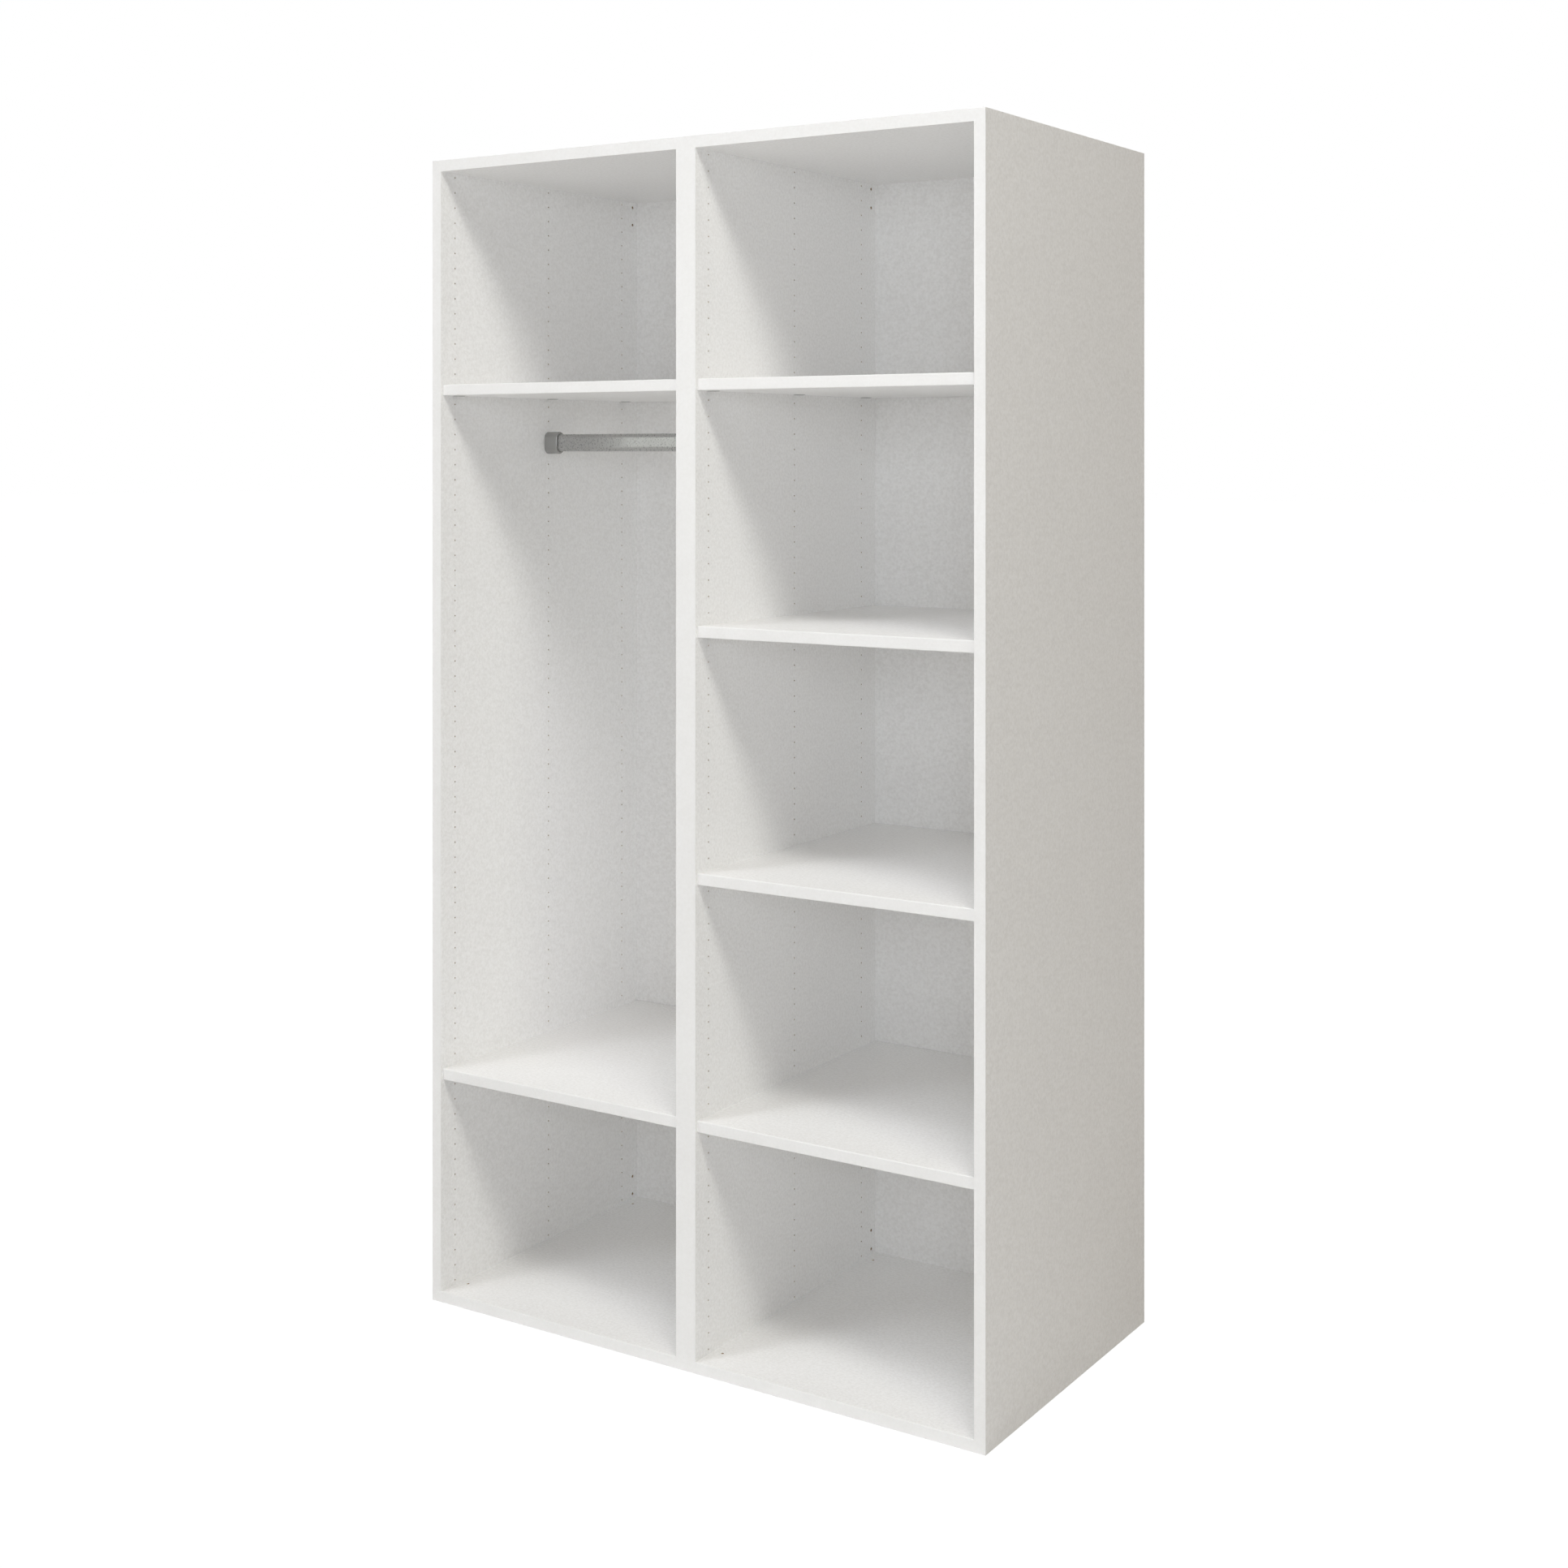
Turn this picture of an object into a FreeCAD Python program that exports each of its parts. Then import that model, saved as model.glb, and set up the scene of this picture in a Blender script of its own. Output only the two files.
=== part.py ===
import FreeCAD, Part
import math
import os
import re
import Sketcher

# An open wardrobe: two equal cabinets of faced board, side by side on the floor and screwed
# together. One has a clothes rail between two shelves, the other four shelves.
#
# Frame: millimetres, +Z up, +X to the right, the fronts face -Y. The origin is on the floor, at
# the middle of the width and of the depth. Each cabinet's own pieces are drawn from its lower
# left front corner, so a sketch's numbers read as distances from the front and from the floor.

SIZES = (
    ("total_height", 1875, "floor to the top of a cabinet"),
    ("total_depth", 550, "front edge to rear edge of a cabinet"),
    ("clear_width", 475, "between the two sides of one cabinet"),
    ("board", 18, "thickness of every faced board"),
    ("edging", 1, "thickness of the strip on the cabinet's front edges"),
    ("edging_round", 0.8, "radius of the bottom strip's upper front edge"),
    ("hole_pitch", 25, "height from one row of holes to the next"),
    ("row_margin", 7, "bottom panel's upper face to the first row, and the least left at the top"),
    ("row_hole", 2.5, "diameter of a row hole, and of what screws into it"),
    ("row_hole_depth", 9, "depth of a row hole"),
    ("column_front", 35, "front edge to the first column of holes"),
    ("column_middle", 279, "front edge to the second column"),
    ("column_rear_inset", 59, "rear edge to the third column"),
    ("pair_hole", 5, "diameter of the holes that stand in pairs near the rear"),
    ("pair_hole_depth", 12, "depth of those holes"),
    ("pair_inset", 26, "rear edge to the pairs"),
    ("pair_margin", 9, "top or bottom panel to the nearer hole of a pair"),
    ("pair_pitch", 32, "from one hole of a pair to the other"),
    ("back_sheet", 4, "thickness of the back panel"),
    ("back_inset", 8, "rear edge to the back panel's rear face"),
    ("groove_depth", 8, "depth of the groove that holds the back panel"),
    ("groove_gap", 1, "left free between the back panel's edge and the groove's floor"),
    ("mark_hole", 4.5, "diameter of the shallow drilled marks in the bottom panel"),
    ("mark_depth", 1.5, "depth of those marks"),
    ("mark_side", 17, "side's inner face to a mark"),
    ("mark_front", 48, "front or rear edge to a mark"),
    ("cam_size", 15, "diameter of a corner cam"),
    ("cam_height", 12.8, "height of a corner cam"),
    ("cam_floor", 0.7, "left free under a corner cam"),
    ("cam_reach", 34, "panel's end to the middle of the cam"),
    ("cam_inset", 60, "front or rear edge to the cams"),
    ("cam_bore", 7.2, "bore from the panel's end to the cam, and the cam's slot"),
    ("cam_thread", 5, "diameter of the cam bolt's thread and stem"),
    ("cam_thread_length", 11, "length of the cam bolt in the side"),
    ("cam_head", 6.8, "diameter of the cam bolt's head"),
    ("cam_head_length", 3, "length of the cam bolt's head"),
    ("cam_drive_width", 1.6, "width of the screwdriver slot in a cam"),
    ("cam_drive_length", 9, "length of that slot"),
    ("cam_drive_depth", 2.5, "depth of that slot"),
    ("dowel", 8, "diameter of a corner dowel"),
    ("dowel_in_side", 10, "length of the dowel in the side"),
    ("dowel_in_end", 20, "length of the dowel in the panel's end"),
    ("dowel_gap", 1, "left free past each end of a dowel"),
    ("dowel_pitch", 32, "cam to dowel"),
    ("join_shank", 4, "diameter of the screws that join the cabinets"),
    ("join_head", 8, "diameter of their heads"),
    ("join_head_height", 3, "height of their heads"),
    ("join_bite", 12, "their length in the second cabinet"),
    ("join_inset", 80, "front or rear edge to those screws"),
    ("join_level", 163, "floor or top to those screws"),
    ("lowest_shelf_row", 14, "rows of holes below the row that holds the lowest shelf"),
    ("shelf_row_step", 15, "rows from one shelf to the next"),
    ("shelf_setback", 5, "cabinet's front to the shelf's front"),
    ("shelf_rear_gap", 1, "shelf's rear edge to the back panel"),
    ("shelf_edging", 2, "thickness of the strip on a shelf's front edge"),
    ("shelf_round", 1.5, "radius of that strip's long edges"),
    ("housing_size", 20, "diameter of a shelf connector's housing"),
    ("housing_height", 14.6, "height of the housing"),
    ("housing_inset", 9.5, "shelf's end to the middle of the housing"),
    ("stud_rise", 11, "shelf's underside to the axis of its studs"),
    ("stud_head", 5.5, "diameter of a stud's head"),
    ("stud_head_length", 8, "length of the stud's head, inside the housing"),
    ("stud_thread_length", 8, "length of the stud in the side"),
    ("stud_gap", 0.2, "left free on each side of a stud's head"),
    ("rail_row", 55, "rows of holes below the rail's lower screw row"),
    ("rail_tall", 30, "height of the rail's oval section"),
    ("rail_wide", 15, "width of the rail's oval section"),
    ("rail_wall", 1.2, "wall of the rail's tube"),
    ("rail_gap", 0.6, "left free between the rail and its cup, all round"),
    ("cup_wall", 3.6, "wall of a rail cup"),
    ("cup_base", 3, "thickness of a rail cup's base"),
    ("cup_reach", 27, "length of a rail cup"),
    ("cup_round", 2.4, "radius of the outer edge at a rail cup's mouth"),
    ("cup_head", 5, "diameter of a rail cup screw's head"),
    ("cup_head_height", 2, "height of that head, sunk in the base"),
    ("cup_thread_length", 8, "length of that screw in the side"),
)
NAMES = {name for name, value, meaning in SIZES}

DOC = FreeCAD.newDocument("wardrobe")
SHEET = DOC.addObject("Spreadsheet::Sheet", "Sizes")
NODES = []

# Formulas that several pieces share.
CABINET_WIDTH = "(clear_width + 2 * board)"
ROW_COUNT = "(floor((total_height - 2 * board - 2 * row_margin) / hole_pitch) + 1)"
FIRST_ROW = "(board + row_margin)"
COLUMNS = ("column_front", "column_middle", "(total_depth - column_rear_inset)")
GROOVE_FRONT = "(total_depth - back_inset - back_sheet)"
GROOVE_REAR = "(total_depth - back_inset)"
SHEET_EDGE = "(groove_depth - groove_gap)"
CAM_DEPTHS = ("cam_inset", "(total_depth - cam_inset)")
DOWEL_DEPTHS = ("(cam_inset + dowel_pitch)", "(total_depth - cam_inset - dowel_pitch)")
PANEL_MIDDLES = ("board / 2", "(total_height - board / 2)")
PANEL_ENDS = ("board", "(board + clear_width)")
CAM_CENTRES = ("(board + cam_reach)", "(board + clear_width - cam_reach)")
JOIN_DEPTHS = ("join_inset", "(total_depth - join_inset)")
JOIN_LEVELS = ("join_level", "(total_height - join_level)")
RAIL_LEVEL = f"({FIRST_ROW} + (rail_row + 0.5) * hole_pitch)"
RAIL_ROWS = (f"({RAIL_LEVEL} - hole_pitch / 2)", f"({RAIL_LEVEL} + hole_pitch / 2)")
CUP_OPENING = ("(rail_wide + 2 * rail_gap)", "(rail_tall + 2 * rail_gap)")
CUP_OUTSIDE = (
    "(rail_wide + 2 * rail_gap + 2 * cup_wall)",
    "max(rail_tall + 2 * rail_gap + 2 * cup_wall; hole_pitch + cup_head + 2 * cup_wall)",
)
HANGING_LEFT = f"(-{CABINET_WIDTH})"
SHELVING_LEFT = "0"


def fill_sheet():
    """One row for each driving size: its name, its value and its meaning."""
    for row, (name, value, meaning) in enumerate(SIZES, start=1):
        SHEET.set(f"A{row}", name)
        SHEET.set(f"B{row}", str(value))
        SHEET.setAlias(f"B{row}", name)
        SHEET.set(f"C{row}", meaning)
    DOC.recompute()


def formula(text):
    """The text with each size's name pointing at its cell."""
    return re.sub(r"[a-z_]+", lambda word: f"Sizes.{word[0]}" if word[0] in NAMES else word[0], text)


def number(text):
    """What a formula comes to, in millimetres."""
    return float(SHEET.evalExpression(formula(text)))


def bind(item, field, text):
    """Make a property follow a formula."""
    item.setExpression(field, formula(text))


def place(node, label, corner):
    """Name a sub-part, put it in its place and keep it for the files."""
    node.Label = label
    for axis, text in zip("xyz", corner):
        bind(node, f"Placement.Base.{axis}", text)
    NODES.append(node)


def cabinet_corner(left):
    """A cabinet's lower left front corner."""
    return (left, "-total_depth / 2", "0")


# Sketches and features of a body.


def new_body(label, corner):
    body = DOC.addObject("PartDesign::Body", label)
    place(body, label, corner)
    return body


def new_sketch(body, plane, offset="0"):
    """An empty sketch on one of the body's origin planes, moved along that plane's normal."""
    sketch = body.newObject("Sketcher::SketchObject", "Sketch")
    role = f"{plane}_Plane"
    support = [item for item in body.Origin.OriginFeatures if item.Role == role][0]
    sketch.AttachmentSupport = (support, [""])
    sketch.MapMode = "FlatFace"
    bind(sketch, "AttachmentOffset.Base.z", offset)
    return sketch


def dimension(sketch, kind, *terms):
    """A driving dimension, bound to the formula that comes last."""
    index = sketch.addConstraint(Sketcher.Constraint(kind, *terms[:-1], number(terms[-1])))
    bind(sketch, f"Constraints[{index}]", terms[-1])


def locate(sketch, item, point, across, up):
    """Hold a point of the geometry at its distances from the sketch's origin."""
    dimension(sketch, "DistanceX", -1, 1, item, point, across)
    dimension(sketch, "DistanceY", -1, 1, item, point, up)


def draw_rectangle(sketch, left, bottom, right, top):
    x0, y0, x1, y1 = (number(text) for text in (left, bottom, right, top))
    corners = [FreeCAD.Vector(x, y, 0) for x, y in ((x0, y0), (x1, y0), (x1, y1), (x0, y1))]
    first = sketch.GeometryCount
    for index in range(4):
        sketch.addGeometry(Part.LineSegment(corners[index], corners[(index + 1) % 4]), False)
    for index in range(4):
        following = first + (index + 1) % 4
        direction = "Vertical" if index % 2 else "Horizontal"
        sketch.addConstraint(Sketcher.Constraint("Coincident", first + index, 2, following, 1))
        sketch.addConstraint(Sketcher.Constraint(direction, first + index))
    locate(sketch, first, 1, left, bottom)
    locate(sketch, first + 2, 1, right, top)


def draw_circle(sketch, across, up, diameter):
    centre = FreeCAD.Vector(number(across), number(up), 0)
    circle = Part.Circle(centre, FreeCAD.Vector(0, 0, 1), number(diameter) / 2)
    item = sketch.addGeometry(circle, False)
    locate(sketch, item, 3, across, up)
    dimension(sketch, "Diameter", item, diameter)


def draw_oval(sketch, across, up, wide, tall):
    """An upright oval: two half circles joined by straight sides."""
    x, y, radius = number(across), number(up), number(wide) / 2
    straight = number(tall) / 2 - radius
    axis = FreeCAD.Vector(0, 0, 1)
    upper = Part.Circle(FreeCAD.Vector(x, y + straight, 0), axis, radius)
    lower = Part.Circle(FreeCAD.Vector(x, y - straight, 0), axis, radius)
    half_turn = math.pi
    first = sketch.addGeometry(Part.ArcOfCircle(upper, 0, half_turn), False)
    sketch.addGeometry(Part.ArcOfCircle(lower, half_turn, 2 * half_turn), False)
    for side in (-radius, radius):
        ends = [FreeCAD.Vector(x + side, y + height, 0) for height in (straight, -straight)]
        sketch.addGeometry(Part.LineSegment(*ends), False)
    top_arc, low_arc, left_line, right_line = range(first, first + 4)
    sketch.addConstraint(
        [
            Sketcher.Constraint("Tangent", left_line, 1, top_arc, 2),
            Sketcher.Constraint("Tangent", left_line, 2, low_arc, 1),
            Sketcher.Constraint("Tangent", right_line, 1, top_arc, 1),
            Sketcher.Constraint("Tangent", right_line, 2, low_arc, 2),
        ]
    )
    locate(sketch, top_arc, 3, across, f"{up} + {tall} / 2 - {wide} / 2")
    locate(sketch, low_arc, 3, across, f"{up} - {tall} / 2 + {wide} / 2")
    dimension(sketch, "Radius", top_arc, f"{wide} / 2")


def extrude(body, kind, sketch, length, backwards=False):
    """A Pad along the sketch's normal or a Pocket against it, or the other way round."""
    feature = body.newObject(f"PartDesign::{kind}", kind)
    feature.Profile = sketch
    feature.Reversed = backwards
    bind(feature, "Length", length)
    sketch.Visibility = False
    return feature


def bore(body, plane, offset, centres, diameter, depth, backwards=False):
    """Round blind holes of one size, from one plane."""
    sketch = new_sketch(body, plane, offset)
    for across, up in centres:
        draw_circle(sketch, across, up, diameter)
    return sketch, extrude(body, "Pocket", sketch, depth, backwards)


def pins(body, plane, offset, centres, diameter, length, backwards=False):
    """Round pins of one size, from one plane."""
    sketch = new_sketch(body, plane, offset)
    for across, up in centres:
        draw_circle(sketch, across, up, diameter)
    extrude(body, "Pad", sketch, length, backwards)


def block(body, plane, offset, corners, length, kind="Pad", backwards=False):
    """Rectangular pads or pockets from one plane."""
    sketch = new_sketch(body, plane, offset)
    for corner in corners:
        draw_rectangle(sketch, *corner)
    extrude(body, kind, sketch, length, backwards)


def pairs(first, second):
    """Every place that a first and a second distance make together."""
    return [(across, up) for across in first for up in second]


# The cabinet's boards.


def side(label, left, joined_by, looks_right):
    """A side: its inner face has the holes and the groove; joined_by is heads, tips or nothing."""
    body = new_body(label, (left, "-total_depth / 2", "0"))
    inner = "board" if looks_right else "0"
    inwards = not looks_right
    block(body, "YZ", "0", [("edging", "0", "total_depth", "total_height")], "board")
    groove = (
        GROOVE_FRONT,
        "board - groove_depth",
        GROOVE_REAR,
        "total_height - board + groove_depth",
    )
    block(body, "YZ", inner, [groove], "groove_depth", "Pocket", inwards)
    levels = (
        "board + pair_margin",
        "board + pair_margin + pair_pitch",
        "total_height - board - pair_margin",
        "total_height - board - pair_margin - pair_pitch",
    )
    bore(body, "YZ", inner, pairs(("(total_depth - pair_inset)",), levels), "pair_hole",
         "pair_hole_depth", inwards)
    bore(body, "YZ", inner, pairs(CAM_DEPTHS, PANEL_MIDDLES), "cam_thread", "cam_thread_length",
         inwards)
    bore(body, "YZ", inner, pairs(DOWEL_DEPTHS, PANEL_MIDDLES), "dowel",
         "dowel_in_side + dowel_gap", inwards)
    if joined_by == "heads":
        bore(body, "YZ", inner, pairs(JOIN_DEPTHS, JOIN_LEVELS), "join_shank", "board", inwards)
        bore(body, "YZ", inner, pairs(JOIN_DEPTHS, JOIN_LEVELS), "join_head",
             "join_head_height", inwards)
    if joined_by == "tips":
        bore(body, "YZ", "0", pairs(JOIN_DEPTHS, JOIN_LEVELS), "join_shank", "join_bite", True)
    row, holes = bore(body, "YZ", inner, pairs(COLUMNS, (FIRST_ROW,)), "row_hole",
                      "row_hole_depth", inwards)
    DOC.recompute()
    rows = body.newObject("PartDesign::LinearPattern", "Rows")
    rows.Originals = [holes]
    rows.Direction = (row, ["V_Axis"])
    bind(rows, "Length", f"({ROW_COUNT} - 1) * hole_pitch")
    bind(rows, "Occurrences", ROW_COUNT)
    body.Tip = rows


def end_panel(label, left, on_top):
    """A top or bottom panel between the sides, with its cams let into the outer face."""
    level = "total_height - board" if on_top else "0"
    body = new_body(label, (left, "-total_depth / 2", level))
    inner, outer = ("0", "board") if on_top else ("board", "0")
    outline = ("board", "edging", "board + clear_width", "total_depth")
    block(body, "XY", "0", [outline], "board")
    groove = ("board", GROOVE_FRONT, "board + clear_width", GROOVE_REAR)
    block(body, "XY", inner, [groove], "groove_depth", "Pocket", on_top)
    bore(body, "XY", outer, pairs(CAM_CENTRES, CAM_DEPTHS), "cam_size",
         "cam_height + cam_floor", not on_top)
    for end, from_left in zip(PANEL_ENDS, (True, False)):
        bore(body, "YZ", end, pairs(CAM_DEPTHS, ("board / 2",)), "cam_bore", "cam_reach",
             from_left)
        bore(body, "YZ", end, pairs(DOWEL_DEPTHS, ("board / 2",)), "dowel",
             "dowel_in_end + dowel_gap", from_left)
    if not on_top:
        across = ("(board + mark_side)", "(board + clear_width - mark_side)")
        along = ("mark_front", "(total_depth - mark_front)")
        bore(body, "XY", inner, pairs(across, along), "mark_hole", "mark_depth")


def plain_sheet(label, corner, spans):
    """A plain rectangular piece."""
    node = DOC.addObject("Part::Box", label)
    for field, text in zip(("Length", "Width", "Height"), spans):
        bind(node, field, text)
    place(node, label, corner)


def back_panel(label, left):
    corner = (
        f"{left} + board - {SHEET_EDGE}",
        f"{GROOVE_FRONT} - total_depth / 2",
        f"board - {SHEET_EDGE}",
    )
    spans = (
        f"clear_width + 2 * {SHEET_EDGE}",
        "back_sheet",
        f"total_height - 2 * board + 2 * {SHEET_EDGE}",
    )
    plain_sheet(label, corner, spans)


def front_strips(label, left):
    """The four strips on a cabinet's front edges."""
    front = "-total_depth / 2"
    right = f"{left} + board + clear_width"
    upright = ("board", "edging", "total_height")
    level = ("clear_width", "edging", "board")
    plain_sheet(f"{label}_left_side_edging", (left, front, "0"), upright)
    plain_sheet(f"{label}_right_side_edging", (right, front, "0"), upright)
    plain_sheet(f"{label}_top_edging", (f"{left} + board", front, "total_height - board"), level)
    bottom_strip(f"{label}_bottom_edging", (f"{left} + board", front, "0"))


def bottom_strip(label, corner):
    """The bottom panel's strip, with its upper front edge rounded."""
    body = new_body(label, corner)
    block(body, "YZ", "0", [("0", "0", "edging", "board")], "clear_width")
    DOC.recompute()
    top = number("board")
    edges = edges_at(body.Tip, lambda point: abs(point.y) + abs(point.z - top) < 0.01, "x")
    round_edges(body, edges, "edging_round")


# The fittings that hold a cabinet together.


def corner_cams(label, left):
    """Eight round cams with a slot for the bolt's head and one for a screwdriver."""
    body = new_body(label, cabinet_corner(left))
    seats = pairs(CAM_CENTRES, CAM_DEPTHS)
    slot_depth = "cam_height - board / 2 + cam_bore / 2"
    for level, on_top in (("0", False), ("total_height", True)):
        inner = "total_height - cam_height" if on_top else "cam_height"
        pins(body, "XY", level, seats, "cam_size", "cam_height", on_top)
        slots = []
        drives = []
        for across, along in seats:
            outward = "-" if across == CAM_CENTRES[0] else "+"
            edges = sorted((f"{across} {outward} cam_size", across), key=number)
            slots.append((edges[0], f"{along} - cam_bore / 2", edges[1], f"{along} + cam_bore / 2"))
            drives.append(
                (
                    f"{across} - cam_drive_length / 2",
                    f"{along} - cam_drive_width / 2",
                    f"{across} + cam_drive_length / 2",
                    f"{along} + cam_drive_width / 2",
                )
            )
        block(body, "XY", inner, slots, slot_depth, "Pocket", on_top)
        block(body, "XY", level, drives, "cam_drive_depth", "Pocket", not on_top)


def corner_bolts(label, left):
    """Eight bolts, screwed into the sides, with their heads in the cams."""
    body = new_body(label, cabinet_corner(left))
    seats = pairs(CAM_DEPTHS, PANEL_MIDDLES)
    stem = "cam_thread_length + cam_reach"
    tips = ("board - cam_thread_length", "board + clear_width + cam_thread_length")
    for tip, centre, from_left in zip(tips, CAM_CENTRES, (True, False)):
        pins(body, "YZ", tip, seats, "cam_thread", stem, not from_left)
        pins(body, "YZ", centre, seats, "cam_head", "cam_head_length", from_left)


def corner_dowels(label, left):
    """Eight dowels, half in the sides and half in the panels' ends."""
    body = new_body(label, cabinet_corner(left))
    seats = pairs(DOWEL_DEPTHS, PANEL_MIDDLES)
    tips = ("board - dowel_in_side", "board + clear_width + dowel_in_side")
    for tip, from_left in zip(tips, (True, False)):
        pins(body, "YZ", tip, seats, "dowel", "dowel_in_side + dowel_in_end", not from_left)


def joining_screws(label):
    """Four screws through both middle sides, with their heads in the hanging cabinet."""
    body = new_body(label, cabinet_corner("0"))
    seats = pairs(JOIN_DEPTHS, JOIN_LEVELS)
    pins(body, "YZ", "-board", seats, "join_shank", "board + join_bite")
    pins(body, "YZ", "-board", seats, "join_head", "join_head_height")


# Shelves with their concealed connectors, drawn from the cabinet's inner front corner.


def shelf(label, left, row):
    """A shelf, its front strip, its six connector housings and the six studs in the sides."""
    underside = f"{FIRST_ROW} + ({row}) * hole_pitch - stud_rise"
    corner = (f"{left} + board", "-total_depth / 2", underside)
    front = "(shelf_setback + shelf_edging)"
    seats = pairs(("housing_inset", "(clear_width - housing_inset)"), COLUMNS)

    body = new_body(f"{label}_board", corner)
    block(body, "XY", "0", [("0", front, "clear_width", f"{GROOVE_FRONT} - shelf_rear_gap")], "board")
    bore(body, "XY", "0", seats, "housing_size", "housing_height", True)

    strip = new_body(f"{label}_edging", corner)
    block(strip, "YZ", "0", [("shelf_setback", "0", front, "board")], "clear_width")
    DOC.recompute()
    edges = edges_at(strip.Tip, lambda point: abs(point.y - number("shelf_setback")) < 0.01, "x")
    round_edges(strip, edges, "shelf_round")

    housings = new_body(f"{label}_connector_housings", corner)
    pins(housings, "XY", "0", seats, "housing_size", "housing_height")
    half_slot = "(stud_head / 2 + stud_gap)"
    slots = []
    for middle in COLUMNS:
        for outer, inner in (("-housing_size", "housing_inset"),
                             ("clear_width - housing_inset", "clear_width + housing_size")):
            slots.append((outer, f"{middle} - {half_slot}", inner, f"{middle} + {half_slot}"))
    block(housings, "XY", "0", slots, "stud_rise + stud_head / 2", "Pocket", True)
    rear = "total_depth + housing_size"
    trims = [
        ("-housing_size", "0", "0", rear),
        ("clear_width", "0", "clear_width + housing_size", rear),
    ]
    block(housings, "XY", "0", trims, "housing_height", "Pocket", True)

    studs = new_body(f"{label}_connector_studs", corner)
    lines = pairs(COLUMNS, ("stud_rise",))
    for face, on_left in (("0", True), ("clear_width", False)):
        pins(studs, "YZ", face, lines, "row_hole", "stud_thread_length", on_left)
        pins(studs, "YZ", face, lines, "stud_head", "stud_head_length", not on_left)


def edges_at(feature, wanted, along=""):
    """Names of the edges whose every vertex is wanted, and that run along an axis if one is given."""
    found = []
    for index, edge in enumerate(feature.Shape.Edges, start=1):
        points = [vertex.Point for vertex in edge.Vertexes]
        span = abs(getattr(points[-1], along) - getattr(points[0], along)) if along else 1
        if all(wanted(point) for point in points) and span > 0.01:
            found.append(f"Edge{index}")
    return found


def round_edges(body, edges, radius):
    """A fillet on the body's last feature."""
    base = body.Tip
    fillet = body.newObject("PartDesign::Fillet", "Fillet")
    fillet.Base = (base, edges)
    bind(fillet, "Radius", radius)
    body.Tip = fillet


# The clothes rail, drawn from the hanging cabinet's inner front corner.


def rail_corner():
    return (f"{HANGING_LEFT} + board", "-total_depth / 2", "0")


def clothes_rail(label):
    """An oval tube between the bases of its two cups."""
    body = new_body(label, rail_corner())
    length = "clear_width - 2 * cup_base"
    for kind, inset in (("Pad", "0"), ("Pocket", "rail_wall")):
        sketch = new_sketch(body, "YZ", "cup_base")
        wide, tall = (f"({span} - 2 * {inset})" for span in ("rail_wide", "rail_tall"))
        draw_oval(sketch, "column_middle", RAIL_LEVEL, wide, tall)
        extrude(body, kind, sketch, length, kind == "Pocket")


def rail_cup(label, on_left):
    """A closed oval cup, screwed to a side through two row holes."""
    body = new_body(label, rail_corner())
    wall, into = ("0", "") if on_left else ("clear_width", "-")
    base = f"{wall} + {into}cup_base"
    mouth = f"{wall} + {into}cup_reach"
    screws = pairs(("column_middle",), RAIL_ROWS)
    outside = new_sketch(body, "YZ", wall)
    draw_oval(outside, "column_middle", RAIL_LEVEL, *CUP_OUTSIDE)
    extrude(body, "Pad", outside, "cup_reach", not on_left)
    DOC.recompute()
    edges = edges_at(body.Tip, lambda point: abs(point.x - number(mouth)) < 0.01)
    round_edges(body, edges, "cup_round")
    opening = new_sketch(body, "YZ", base)
    draw_oval(opening, "column_middle", RAIL_LEVEL, *CUP_OPENING)
    extrude(body, "Pocket", opening, "cup_reach - cup_base", on_left)
    head_floor = f"{base} - {into}cup_head_height"
    bore(body, "YZ", head_floor, screws, "cup_head", "cup_reach", on_left)
    bore(body, "YZ", wall, screws, "row_hole", "cup_base", on_left)


def cup_screws(label):
    """Two screws through the base of each rail cup."""
    body = new_body(label, rail_corner())
    screws = pairs(("column_middle",), RAIL_ROWS)
    shank = "cup_thread_length + cup_base"
    for tip, top, on_left in (
        ("-cup_thread_length", "cup_base", True),
        ("clear_width + cup_thread_length", "clear_width - cup_base", False),
    ):
        pins(body, "YZ", tip, screws, "row_hole", shank, not on_left)
        pins(body, "YZ", top, screws, "cup_head", "cup_head_height", on_left)


# The whole wardrobe.


def cabinet(label, left, sides_joined_by):
    """One cabinet without its shelves: boards, strips and corner fittings."""
    right = f"{left} + board + clear_width"
    side(f"{label}_left_side", left, sides_joined_by[0], True)
    side(f"{label}_right_side", right, sides_joined_by[1], False)
    end_panel(f"{label}_top_panel", left, True)
    end_panel(f"{label}_bottom_panel", left, False)
    back_panel(f"{label}_back_panel", left)
    front_strips(label, left)
    corner_cams(f"{label}_corner_cams", left)
    corner_bolts(f"{label}_corner_bolts", left)
    corner_dowels(f"{label}_corner_dowels", left)


def shelf_row(count):
    """Rows of holes below the row of a shelf, counted up from the lowest shelf."""
    return f"lowest_shelf_row + {count} * shelf_row_step"


def check_all():
    """Stop at any failed object, any pocket that cuts nothing and any bad shape."""
    for item in DOC.Objects:
        if "Invalid" in item.State or "Error" in item.State:
            raise RuntimeError(f"{item.Name} failed: {item.State}")
        if item.TypeId == "PartDesign::Pocket":
            if item.Shape.Volume > item.BaseFeature.Shape.Volume - 0.1:
                raise RuntimeError(f"{item.Name} of {item.getParentGeoFeatureGroup().Label} cuts nothing")
    for node in NODES:
        if node.Shape.isNull() or not node.Shape.isValid() or not node.Shape.Solids:
            raise RuntimeError(f"{node.Label} has a bad shape")


def write_files():
    os.makedirs("parts", exist_ok=True)
    for node in NODES:
        node.Shape.exportStep(f"parts/{node.Label}.step")
        print(f"{node.Label}: {len(node.Shape.Solids)} solids, {node.Shape.Volume:.0f} mm3")


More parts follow.
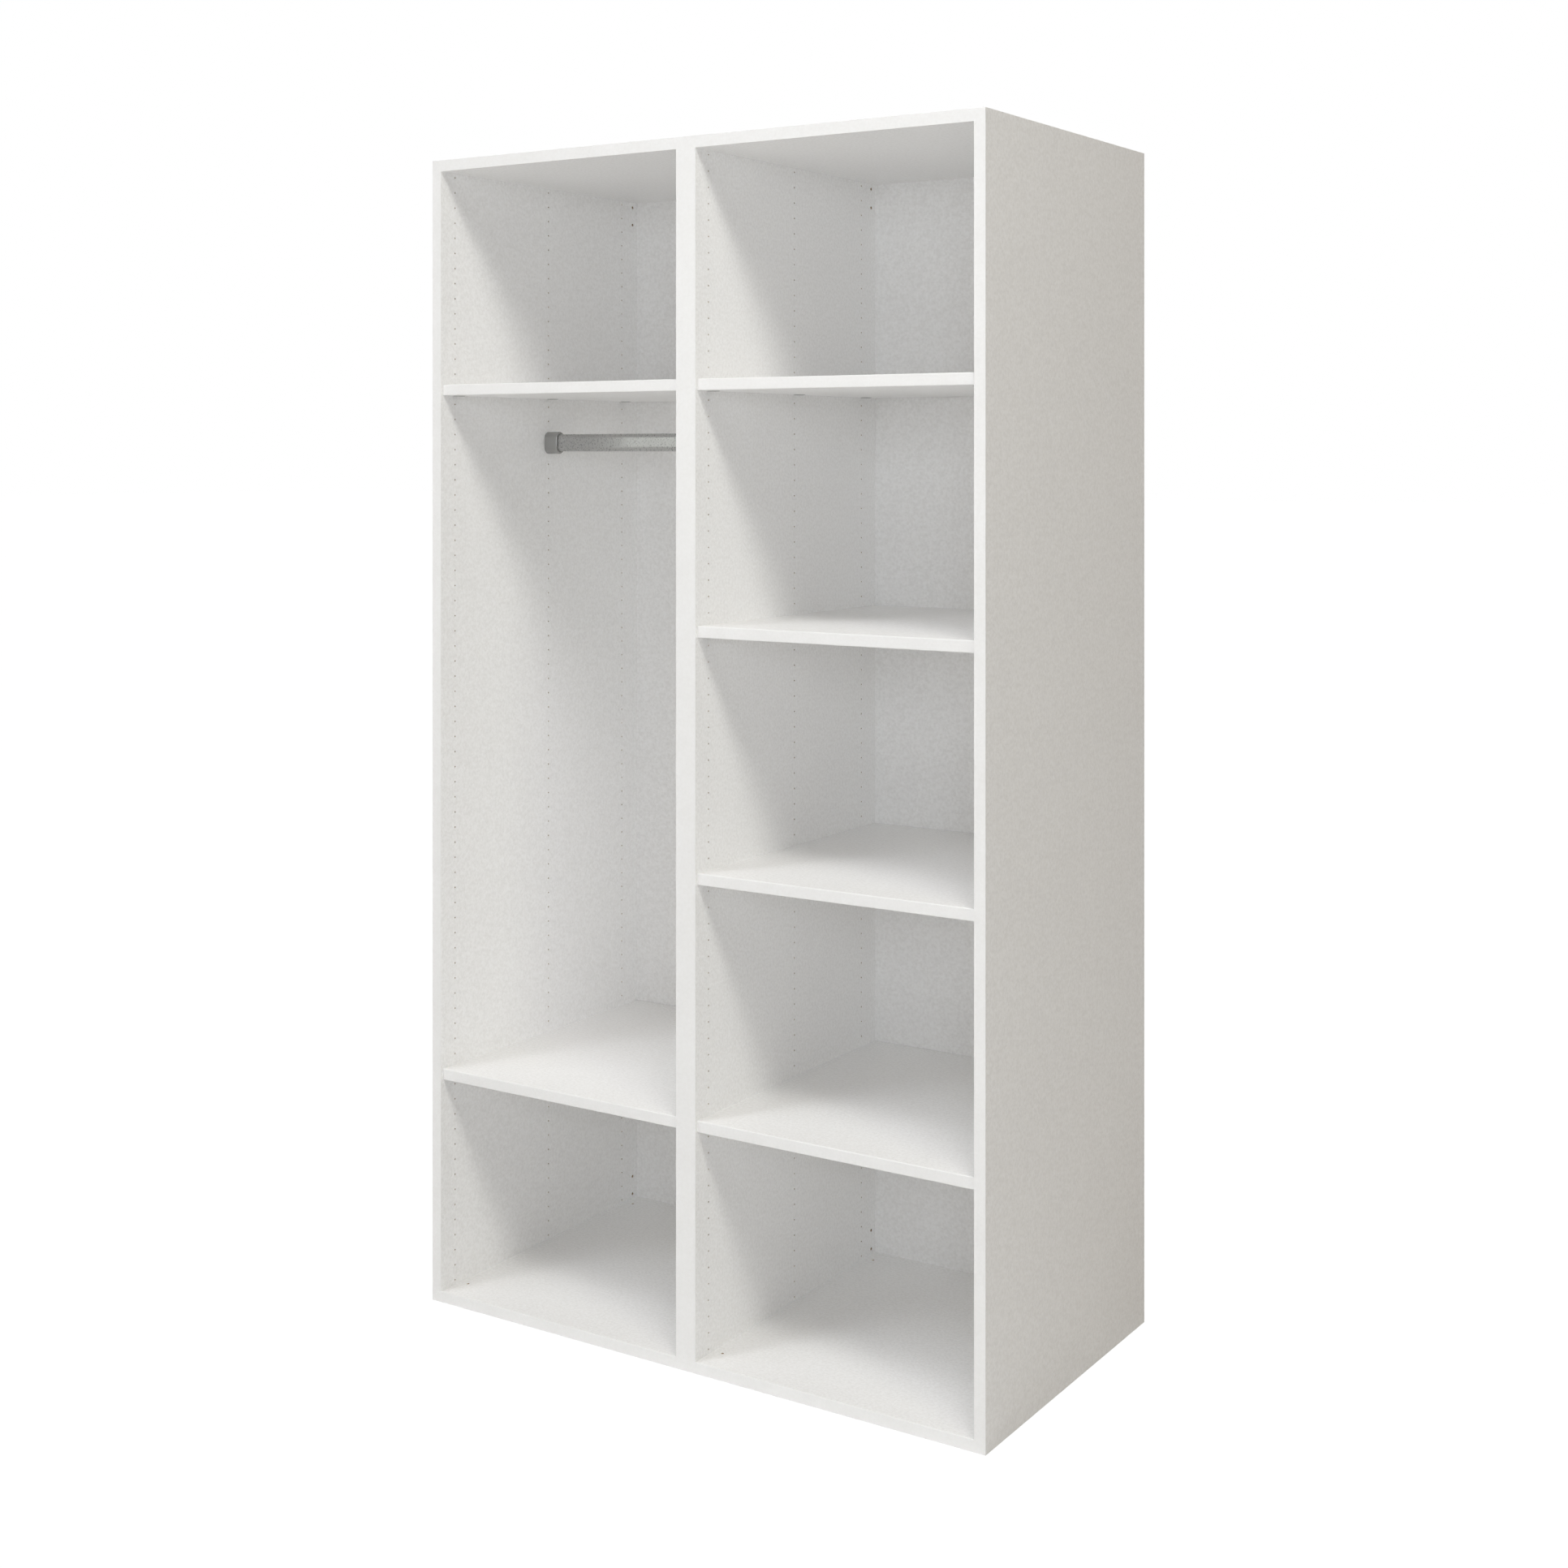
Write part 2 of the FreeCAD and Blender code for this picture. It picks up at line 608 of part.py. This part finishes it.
fill_sheet()
cabinet("hanging_cabinet", HANGING_LEFT, ("", "heads"))
cabinet("shelf_cabinet", SHELVING_LEFT, ("tips", ""))
joining_screws("cabinet_joining_screws")
shelf("hanging_cabinet_lower_shelf", HANGING_LEFT, shelf_row(0))
shelf("hanging_cabinet_upper_shelf", HANGING_LEFT, shelf_row(3))
for level in range(4):
    shelf(f"shelf_cabinet_shelf_{level + 1}", SHELVING_LEFT, shelf_row(level))
clothes_rail("clothes_rail")
rail_cup("rail_cup_left", True)
rail_cup("rail_cup_right", False)
cup_screws("rail_cup_screws")
DOC.recompute()
check_all()
write_files()
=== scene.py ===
import math

import bmesh
import bpy
from mathutils import Matrix, Vector


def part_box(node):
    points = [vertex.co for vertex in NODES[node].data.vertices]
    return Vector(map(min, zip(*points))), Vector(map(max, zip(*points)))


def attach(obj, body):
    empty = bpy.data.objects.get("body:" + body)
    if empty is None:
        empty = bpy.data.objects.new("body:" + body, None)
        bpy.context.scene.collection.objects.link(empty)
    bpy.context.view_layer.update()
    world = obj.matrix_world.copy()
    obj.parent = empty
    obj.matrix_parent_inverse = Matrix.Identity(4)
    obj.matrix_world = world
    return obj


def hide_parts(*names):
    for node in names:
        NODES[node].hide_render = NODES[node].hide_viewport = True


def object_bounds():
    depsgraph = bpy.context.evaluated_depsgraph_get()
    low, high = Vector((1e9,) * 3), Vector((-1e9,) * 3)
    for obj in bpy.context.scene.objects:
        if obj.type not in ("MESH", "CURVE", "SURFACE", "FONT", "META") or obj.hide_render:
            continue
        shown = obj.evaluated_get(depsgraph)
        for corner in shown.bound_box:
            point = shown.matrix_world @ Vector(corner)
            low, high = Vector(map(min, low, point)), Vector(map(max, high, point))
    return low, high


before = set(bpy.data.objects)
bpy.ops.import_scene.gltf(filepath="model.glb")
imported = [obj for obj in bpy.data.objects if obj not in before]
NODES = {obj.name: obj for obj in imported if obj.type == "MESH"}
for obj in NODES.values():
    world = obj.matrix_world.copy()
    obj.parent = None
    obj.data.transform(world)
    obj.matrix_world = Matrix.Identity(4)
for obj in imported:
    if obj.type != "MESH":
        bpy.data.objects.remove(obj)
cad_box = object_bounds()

# Sizes, in metres

MM = 0.001
LOW, HIGH = cad_box
HEIGHT = HIGH.z
BOARD = 18 * MM
EDGING = 1 * MM
SKIN = 0.15 * MM
BACK_INSET = 8 * MM
SIDE_FACES = (0.0, BOARD, HIGH.x - BOARD, HIGH.x)

CUP_STRAIGHT = 15 * MM
CUP_OPENING = 16.2 * MM
CUP_BASE = 3 * MM
CUP_ROUND = 2.4 * MM

HOUSING_INSET = 9.5 * MM
HEAD_DEPTH = 0.6 * MM
CROSS_DEPTH = 0.5 * MM
HEAD_RADIUS = 4.2 * MM
HEAD_PROUD = 0.25 * MM
COLUMN_FRONT = 35 * MM
COLUMN_MIDDLE = 279 * MM
COLUMN_REAR_INSET = 59 * MM
COLUMNS = (LOW.y + COLUMN_FRONT, LOW.y + COLUMN_MIDDLE, HIGH.y - COLUMN_REAR_INSET)
HOUSINGS = "_connector_housings"
SHELVES = [name.removesuffix(HOUSINGS) for name in NODES if name.endswith(HOUSINGS)]

# The share of light that the white gives back, and how fine its pearl grain is
WHITE = 0.92
PEARL = 230.0


# Materials


class Wire:
    """A value on its way through a material. Arithmetic on it adds Math nodes."""

    def __init__(self, finish, socket):
        self.finish = finish
        self.socket = socket

    def math(self, operation, first, second):
        return self.finish.node("ShaderNodeMath", {"operation": operation}, {0: first, 1: second})

    def __add__(self, other):
        return self.math("ADD", self, other)

    def __mul__(self, other):
        return self.math("MULTIPLY", self, other)

    __radd__ = __add__
    __rmul__ = __mul__


class Finish:
    """One material, with short ways to add nodes to it."""

    def __init__(self, name, roughness, **constants):
        self.material = bpy.data.materials.new(name)
        self.material.use_nodes = True
        self.tree = self.material.node_tree
        self.shader = self.tree.nodes["Principled BSDF"]
        self.set("Roughness", roughness)
        for socket, value in constants.items():
            self.set(socket, value)
        self.place = self.node("ShaderNodeTexCoord", {}, {}, "Object")

    def node(self, kind, settings, inputs, output=0):
        """A node of a kind, with its settings, then its inputs' values or wires."""
        made = self.tree.nodes.new(kind)
        for name, value in settings.items():
            setattr(made, name, value)
        for name, value in inputs.items():
            self.feed(made.inputs[name], value)
        return Wire(self, made.outputs[output])

    def feed(self, socket, value):
        if isinstance(value, Wire):
            self.tree.links.new(value.socket, socket)
        else:
            socket.default_value = value

    def set(self, socket, value):
        self.feed(self.shader.inputs[socket], value)

    def noise(self, scale, detail=2.0, place=None):
        """Soft noise, mostly between 0.3 and 0.7."""
        inputs = {"Vector": place or self.place, "Scale": scale, "Detail": detail}
        return self.node("ShaderNodeTexNoise", {}, inputs, "Fac")

    def mix(self, factor, first, second):
        """A colour between two colours."""
        inputs = {0: factor, 6: first, 7: second}
        return self.node("ShaderNodeMix", {"data_type": "RGBA"}, inputs, 2)

    def spread(self, value, low, high, least=0.0, most=1.0):
        """The stretch of a value from low to high, spread from least to most."""
        inputs = {"Value": value, "From Min": low, "From Max": high, "To Min": least, "To Max": most}
        return self.node("ShaderNodeMapRange", {"clamp": True}, inputs)

    def stretched(self, scale):
        """The place, scaled differently along each axis."""
        return self.node("ShaderNodeMapping", {}, {"Vector": self.place, "Scale": scale})

    def bump(self, height, distance, strength):
        inputs = {"Height": height, "Distance": distance, "Strength": strength}
        self.set("Normal", self.node("ShaderNodeBump", {}, inputs))

    def axes(self):
        """The place's three coordinates, each by itself."""
        split = self.node("ShaderNodeSeparateXYZ", {}, {"Vector": self.place})
        return [Wire(self, socket) for socket in split.socket.node.outputs]


def white(level, warmth=0.0):
    """A near white, with a little less blue for warmth."""
    return (level, level * (1 - warmth * 0.4), level * (1 - warmth), 1.0)


def pearled_white(finish, pearl, level, contrast=0.07):
    """White with a fine pearl grain and faint clouds."""
    tone = finish.noise(3.0, 3.0) * 0.15 + finish.spread(pearl, 0.3, 0.7) * 0.85
    dark, light = level * (1 - contrast), level * (1 + contrast * 0.9)
    return finish.mix(tone, white(dark, 0.014), white(light, 0.004))


def faced_board(name, level, faces_across=(), faces_up=()):
    """White melamine facing; what lies deeper than the faces is raw particle board."""
    finish = Finish(name, 0.42)
    pearl = finish.noise(PEARL, 2.0)
    colour = pearled_white(finish, pearl, level)
    if faces_across or faces_up:
        across, along, up = finish.axes()
        faces = [(finish.node("ShaderNodeMath", {"operation": "ABSOLUTE"}, {0: across}), face)
                 for face in faces_across]
        faces += [(along, face) for face in (LOW.y + EDGING, HIGH.y)]
        faces += [(up, face) for face in faces_up]
        on_face = 0.0
        for value, face in faces:
            inputs = {0: value, 1: face, 2: SKIN}
            on_face = finish.node("ShaderNodeMath", {"operation": "COMPARE"}, inputs) + on_face
        chips = finish.noise(700.0, 4.0)
        raw = finish.mix(chips, (0.36, 0.25, 0.15, 1), (0.60, 0.46, 0.31, 1))
        colour = finish.mix(finish.spread(on_face, 0.0, 1.0), raw, colour)
    finish.set("Base Color", colour)
    finish.set("Roughness", finish.spread(finish.noise(60.0, 3.0), 0.3, 0.7, 0.40, 0.48))
    finish.bump(pearl, 0.02 * MM, 0.35)
    return finish.material


def edging_strip(name, level):
    """Smooth white plastic strip with faint drawing lines along it."""
    finish = Finish(name, 0.38)
    drawn = finish.noise(260.0, 2.0, finish.stretched((0.1, 1.0, 0.1)))
    grain = finish.noise(PEARL, 2.0) * 0.6 + drawn * 0.4
    finish.set("Base Color", pearled_white(finish, grain, level, 0.03))
    finish.set("Roughness", finish.spread(drawn, 0.3, 0.7, 0.34, 0.42))
    finish.bump(drawn, 0.01 * MM, 0.3)
    return finish.material


def back_sheet(name, level):
    """Fibreboard, lacquered white towards the front and bare behind."""
    finish = Finish(name, 0.5)
    across, along, up = finish.axes()
    rear_face = HIGH.y - BACK_INSET
    bare = finish.spread(along, rear_face - 1.0 * MM, rear_face - 0.5 * MM)
    fibres = finish.noise(420.0, 5.0, finish.stretched((1.0, 1.0, 0.35)))
    brown = finish.mix(fibres, (0.30, 0.19, 0.105, 1), (0.47, 0.33, 0.20, 1))
    front = pearled_white(finish, finish.noise(PEARL, 2.0), level)
    finish.set("Base Color", finish.mix(bare, front, brown))
    finish.set("Roughness", finish.spread(bare, 0.0, 1.0, 0.48, 0.75))
    finish.bump(fibres, 0.05 * MM, 0.3)
    return finish.material


def coated_tube(name, level):
    """Grey satin coating on steel, with a fine speckle."""
    finish = Finish(name, 0.3, Metallic=0.45)
    speck = finish.noise(400.0, 2.0)
    cloud = finish.noise(25.0, 2.0, finish.stretched((0.15, 1.0, 1.0)))
    dark = (level * 0.9, level * 0.9, level * 0.89, 1)
    light = (level * 1.1, level * 1.1, level * 1.08, 1)
    finish.set("Base Color", finish.mix(speck * 0.7 + cloud * 0.3, dark, light))
    finish.set("Roughness", finish.spread(speck, 0.3, 0.7, 0.25, 0.34))
    finish.bump(speck, 0.005 * MM, 0.1)
    return finish.material


def moulded_plastic(name, colour, roughness=0.45, sheen=0.0):
    """Plastic with a fine spark-eroded texture; sheen is how far it is metallised."""
    finish = Finish(name, roughness, Metallic=sheen)
    grain = finish.noise(1300.0, 2.0)
    dark = tuple(channel * 0.93 for channel in colour) + (1,)
    finish.set("Base Color", finish.mix(grain, dark, tuple(colour) + (1,)))
    finish.set("Roughness", finish.spread(grain, 0.3, 0.7, roughness - 0.05, roughness + 0.06))
    finish.bump(grain, 0.03 * MM, 0.4)
    return finish.material


def plated_metal(name, level, roughness=0.35):
    """Zinc plated or die-cast metal with fine scratches."""
    finish = Finish(name, roughness, Metallic=0.9)
    scratch = finish.noise(500.0, 3.0, finish.stretched((0.2, 1.0, 1.0)))
    blotch = finish.noise(120.0, 2.0)
    dark = (level * 0.85, level * 0.85, level * 0.87, 1)
    finish.set("Base Color", finish.mix(blotch, dark, (level, level, level * 0.99, 1)))
    finish.set("Roughness", finish.spread(scratch, 0.3, 0.7, roughness - 0.08, roughness + 0.12))
    finish.bump(scratch, 0.02 * MM, 0.3)
    return finish.material


def beech(name):
    """Pale turned wood with its grain along the dowel."""
    finish = Finish(name, 0.6)
    grain = finish.noise(350.0, 3.0, finish.stretched((0.08, 1.0, 1.0)))
    finish.set("Base Color", finish.mix(grain, (0.45, 0.29, 0.16, 1), (0.68, 0.50, 0.31, 1)))
    finish.bump(grain, 0.1 * MM, 0.4)
    return finish.material


FINISHES = {
    "_side": faced_board("side_facing", WHITE, SIDE_FACES, (0.0, HEIGHT)),
    "_panel": faced_board("panel_facing", WHITE, SIDE_FACES[1:3], (0.0, BOARD, HEIGHT - BOARD, HEIGHT)),
    "_back_panel": back_sheet("back_panel_lacquer", WHITE),
    "_board": faced_board("shelf_facing", WHITE),
    "_edging": edging_strip("edging_plastic", WHITE),
    "_dowels": beech("dowel_beech"),
    "_bolts": plated_metal("bolt_zinc", 0.62),
    "_screws": plated_metal("screw_zinc", 0.62),
    "_studs": plated_metal("stud_zinc", 0.62),
    "_cams": plated_metal("cam_zinc", 0.5, 0.5),
    "_housings": moulded_plastic("housing_plastic", (0.50, 0.50, 0.49)),
    "clothes_rail": coated_tube("rail_coating", 0.43),
    "rail_cup_left": moulded_plastic("cup_plastic", (0.40, 0.40, 0.39), 0.17, 0.6),
    "rail_cup_right": moulded_plastic("cup_plastic_right", (0.40, 0.40, 0.39), 0.17, 0.6),
}


def dress_nodes():
    """Each node takes the finish whose name is the longest end of its own."""
    for name, node in NODES.items():
        fitting = max((end for end in FINISHES if name.endswith(end)), key=len)
        for slot in node.material_slots:
            slot.material = FINISHES[fitting]


# Pieces with more detail than their solids


def new_piece(name, shape, finish, slot, *stands_for):
    """A finished mesh as a smooth-shaded piece of the wardrobe."""
    bmesh.ops.recalc_face_normals(shape, faces=shape.faces)
    mesh = bpy.data.meshes.new(name)
    shape.to_mesh(mesh)
    shape.free()
    mesh.materials.append(finish)
    mesh.shade_smooth()
    mesh.set_sharp_from_angle(angle=math.radians(35))
    piece = bpy.data.objects.new(name, mesh)
    bpy.context.scene.collection.objects.link(piece)
    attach(piece, "root")
    if stands_for:
        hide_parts(*stands_for)


def oval_ring(shape, place, radius):
    """An upright oval of edges across the X axis, its straight flanks CUP_STRAIGHT long.

    It is turned by half a step first, so that no corner lies between its two round ends.
    """
    steps = 64
    ring = bmesh.ops.create_circle(shape, segments=steps, radius=radius)["verts"]
    bmesh.ops.rotate(shape, verts=ring, matrix=Matrix.Rotation(math.radians(180 / steps), 3, "Z"))
    bmesh.ops.rotate(shape, verts=ring, matrix=Matrix.Rotation(math.radians(90), 3, "Y"))
    for half in (1, -1):
        verts = [vert for vert in ring if vert.co.z * half > 0]
        bmesh.ops.translate(shape, verts=verts, vec=(0, 0, half * CUP_STRAIGHT / 2))
    bmesh.ops.translate(shape, verts=ring, vec=place)
    return list(shape.edges)


def next_ring(shape, ring, place, ahead, ratio):
    """Carries an oval ring on: moved ahead along X, its round ends grown by the ratio."""
    grown = bmesh.ops.extrude_edge_only(shape, edges=ring)["geom"]
    verts = [item for item in grown if isinstance(item, bmesh.types.BMVert)]
    for half in (1, -1):
        hub = Matrix.Translation((0, -place.y, -place.z - half * CUP_STRAIGHT / 2))
        end = [vert for vert in verts if (vert.co.z - place.z) * half > 0]
        bmesh.ops.scale(shape, verts=end, vec=(1, ratio, ratio), space=hub)
    bmesh.ops.translate(shape, verts=verts, vec=(ahead, 0, 0))
    fresh = set(verts)
    return [item for item in grown if isinstance(item, bmesh.types.BMEdge) and fresh.issuperset(item.verts)]


def rail_cup(name, wall, into):
    """An oval cup with a rounded mouth, an eased foot and a small slot low on its front."""
    low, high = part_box(name)
    centre = (low + high) / 2
    outside, opening, reach = (high.y - low.y) / 2, CUP_OPENING / 2, high.x - low.x
    foot = [(0.0, outside - 0.6 * MM), (0.4 * MM, outside - 0.12 * MM), (0.9 * MM, outside)]
    slot_band = [(2.2 * MM, outside), (5.4 * MM, outside)]
    mouth = []
    for step in range(7):
        turn = math.radians(15 * step)
        along = reach - CUP_ROUND * (1 - math.sin(turn))
        mouth.append((along, outside - CUP_ROUND * (1 - math.cos(turn))))
    lip = [(reach, opening + 0.5 * MM), (reach - 0.15 * MM, opening + 0.15 * MM)]
    bore = [(reach - 0.5 * MM, opening), (CUP_BASE, opening)]
    stations = foot + slot_band + mouth + lip + bore
    shape = bmesh.new()
    first = ring = oval_ring(shape, (wall, centre.y, centre.z), stations[0][1])
    for (here, radius), (there, wider) in zip(stations, stations[1:]):
        ring = next_ring(shape, ring, centre, into * (there - here), wider / radius)
    bmesh.ops.holes_fill(shape, edges=first + ring, sides=0)
    bmesh.ops.recalc_face_normals(shape, faces=shape.faces)
    slot_spot = Vector((wall + into * 3.8 * MM, low.y + 1.6 * MM, centre.z - 13.5 * MM))
    slot = min(shape.faces, key=lambda face: (face.calc_center_median() - slot_spot).length)
    bmesh.ops.inset_region(shape, faces=[slot], thickness=0.08 * MM, depth=0.0)
    bmesh.ops.translate(shape, verts=slot.verts, vec=slot.normal * -0.7 * MM)
    new_piece(f"{name}_moulding", shape, FINISHES[name], "cup_grey", name)


def turned_ring(shape, place, profile):
    """A profile of (radius, height) points turned about an upright axis through a place."""
    points = [shape.verts.new(place + Vector((radius, 0, height))) for radius, height in profile]
    edges = [shape.edges.new(pair) for pair in zip(points, points[1:] + points[:1])]
    bmesh.ops.spin(shape, geom=points + edges, cent=place, axis=(0, 0, 1),
                   angle=math.radians(360), steps=36, use_merge=True)


def of_kind(geometry, kind):
    """The corners, edges or faces among what an operator gives back."""
    return [item for item in geometry if isinstance(item, kind)]


def cross_head(shape, place, radius):
    """A round head, facing down, with a cross-shaped recess."""
    others = set(shape.verts)
    arm, width = radius * 0.62, radius * 0.17
    verts = bmesh.ops.create_grid(shape, x_segments=3, y_segments=3, size=1.0)["verts"]
    for vert in verts:
        for axis in (0, 1):
            size = arm if abs(vert.co[axis]) > 0.5 else width
            vert.co[axis] = math.copysign(size, vert.co[axis])
    grid = {face for vert in verts for face in vert.link_faces}
    cross = [face for face in grid if min(abs(value) for value in face.calc_center_median()[:2]) < width / 2]
    rim = [edge for edge in {edge for face in grid for edge in face.edges} if edge.is_boundary]
    outer = bmesh.ops.extrude_edge_only(shape, edges=rim)["geom"]
    for vert in of_kind(outer, bmesh.types.BMVert):
        vert.co = vert.co.normalized() * radius
    edge = [item for item in of_kind(outer, bmesh.types.BMEdge) if item.is_boundary]
    skirt = bmesh.ops.extrude_edge_only(shape, edges=edge)["geom"]
    bmesh.ops.translate(shape, verts=of_kind(skirt, bmesh.types.BMVert), vec=(0, 0, HEAD_DEPTH))
    sunk = bmesh.ops.extrude_face_region(shape, geom=cross)["geom"]
    bmesh.ops.translate(shape, verts=of_kind(sunk, bmesh.types.BMVert), vec=(0, 0, CROSS_DEPTH))
    bmesh.ops.delete(shape, geom=cross, context="FACES")
    ends = [item for item in of_kind(skirt, bmesh.types.BMEdge) if item.is_boundary]
    bmesh.ops.holes_fill(shape, edges=ends, sides=0)
    bmesh.ops.translate(shape, verts=[vert for vert in shape.verts if vert not in others], vec=place)


def connector_caps(shelf):
    """The lipped rims and turning cams of a shelf's six connectors, seen from below."""
    low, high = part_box(shelf + HOUSINGS)
    rims, cams = bmesh.new(), bmesh.new()
    lip = [(8.3, 0.2), (8.5, -0.6), (9.1, -0.7), (9.4, -0.3), (9.4, 0.2)]
    for across in (low.x + HOUSING_INSET, high.x - HOUSING_INSET):
        for along in COLUMNS:
            place = Vector((across, along, low.z))
            turned_ring(rims, place, [(radius * MM, height * MM) for radius, height in lip])
            cross_head(cams, place - Vector((0, 0, HEAD_PROUD)), HEAD_RADIUS)
    new_piece(f"{shelf}_connector_rims", rims, FINISHES["_housings"], "housing_plastic")
    new_piece(f"{shelf}_connector_turners", cams, FINISHES["_cams"], "cam_zinc")


# Floor, light and camera

FLOOR_GLOW = 0.93
BODY = (0, 0, 0.95)
PANEL_SIZE = 1.2
SURROUND = (1.0, 0.84, 0.70, 1)
SURROUND_STRENGTH = 0.172
# Soft panels: name, place, tint and power in watts
SOFTBOXES = (
    ("right_high", (4.7, -2.5, 4.9), (0.99, 1.0, 0.86), 54),
    ("front_right_high", (2.5, -2.5, 4.9), (1.0, 0.99, 1.0), 66),
    ("front_left_high", (-2.0, -4.0, 4.5), (0.91, 0.93, 1.0), 46),
    ("front_right", (2.46, -4.26, 1.82), (0.88, 0.94, 1.0), 36),
    ("front_left", (-2.46, -4.26, 1.82), (0.95, 1.0, 0.96), 22),
)
# Wide suns: name, the way to them, tint, strength and angle in degrees
SUNS = (
    ("overhead", (0, -0.31, 0.95), (1.0, 0.93, 0.78), 0.19, 30),
    ("left_front_high", (-0.406, -0.406, 0.819), (0.88, 0.94, 1.0), 0.48, 25),
)


def pale_floor():
    """A wide pale floor: white where the camera sees it, and pale paint to every other ray."""
    shape = bmesh.new()
    bmesh.ops.create_grid(shape, x_segments=1, y_segments=1, size=60.0)
    mesh = bpy.data.meshes.new("floor")
    shape.to_mesh(mesh)
    shape.free()
    floor = bpy.data.objects.new("floor", mesh)
    bpy.context.scene.collection.objects.link(floor)
    finish = Finish("floor_paint", 0.9)
    finish.set("Base Color", finish.mix(finish.noise(2.0), white(0.80), white(0.82)))
    seen = finish.node("ShaderNodeLightPath", {}, {}, "Is Camera Ray")
    glow = finish.node("ShaderNodeEmission", {}, {"Color": white(1.0), "Strength": 1.06})
    inputs = {0: seen * FLOOR_GLOW, 1: Wire(finish, finish.shader.outputs["BSDF"]), 2: glow}
    both = finish.node("ShaderNodeMixShader", {}, inputs)
    finish.feed(finish.tree.nodes["Material Output"].inputs["Surface"], both)
    mesh.materials.append(finish.material)


def add_light(name, kind, place, towards, tint, energy, size, spread=180):
    """A square panel of a size in metres, or a sun of a size in radians."""
    light = bpy.data.lights.new(name, kind)
    light.color = tint
    light.energy = energy
    if kind == "SUN":
        light.angle = size
    else:
        light.shape = "SQUARE"
        light.size = size
        light.spread = math.radians(spread)
    lamp = bpy.data.objects.new(name, light)
    lamp.location = place
    lamp.rotation_euler = (Vector(towards) - Vector(place)).to_track_quat("-Z", "Y").to_euler()
    bpy.context.scene.collection.objects.link(lamp)


def studio():
    """Soft panels and suns, a dim warm surround, and a backdrop that is white to the camera."""
    # White compartments are lit largely by light that has gone from wall to wall many times
    bpy.context.scene.cycles.diffuse_bounces = 12
    world = bpy.data.worlds.new("studio")
    bpy.context.scene.world = world
    world.use_nodes = True
    nodes, links = world.node_tree.nodes, world.node_tree.links
    fill = nodes["Background"]
    fill.inputs["Color"].default_value = SURROUND
    fill.inputs["Strength"].default_value = SURROUND_STRENGTH
    seen = nodes.new("ShaderNodeBackground")
    seen.inputs["Color"].default_value = (1, 1, 1, 1)
    seen.inputs["Strength"].default_value = 1.0
    path = nodes.new("ShaderNodeLightPath")
    both = nodes.new("ShaderNodeMixShader")
    links.new(path.outputs["Is Camera Ray"], both.inputs["Fac"])
    links.new(fill.outputs["Background"], both.inputs[1])
    links.new(seen.outputs["Background"], both.inputs[2])
    links.new(both.outputs["Shader"], nodes["World Output"].inputs["Surface"])
    for name, place, tint, power in SOFTBOXES:
        add_light(name, "AREA", place, BODY, tint, power, PANEL_SIZE)
    for name, place, tint, power, angle in SUNS:
        add_light(name, "SUN", place, (0, 0, 0), tint, power, math.radians(angle))
    add_light("behind", "AREA", (-0.5, 3.4, 0.8), (0, 0, 1.0), (1.0, 0.98, 0.95), 8, PANEL_SIZE, 45)


def place_camera():
    """A level camera to the right of the open front, above the middle of the height."""
    lens = bpy.data.cameras.new("camera")
    lens.sensor_width = 36.0
    lens.lens = 49.46
    lens.shift_y = -0.2096
    camera = bpy.data.objects.new("camera", lens)
    camera.location = (HIGH.x + 0.7401 * HEIGHT, LOW.y - 1.4231 * HEIGHT, 0.7417 * HEIGHT)
    camera.rotation_euler = (math.radians(90), 0, math.radians(32.82))
    bpy.context.scene.collection.objects.link(camera)
    bpy.context.scene.camera = camera


dress_nodes()
rail_cup("rail_cup_left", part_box("rail_cup_left")[0].x, 1)
rail_cup("rail_cup_right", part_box("rail_cup_right")[1].x, -1)
for shelf in SHELVES:
    connector_caps(shelf)
pale_floor()
studio()
place_camera()
bpy.context.scene.view_settings.view_transform = "Standard"
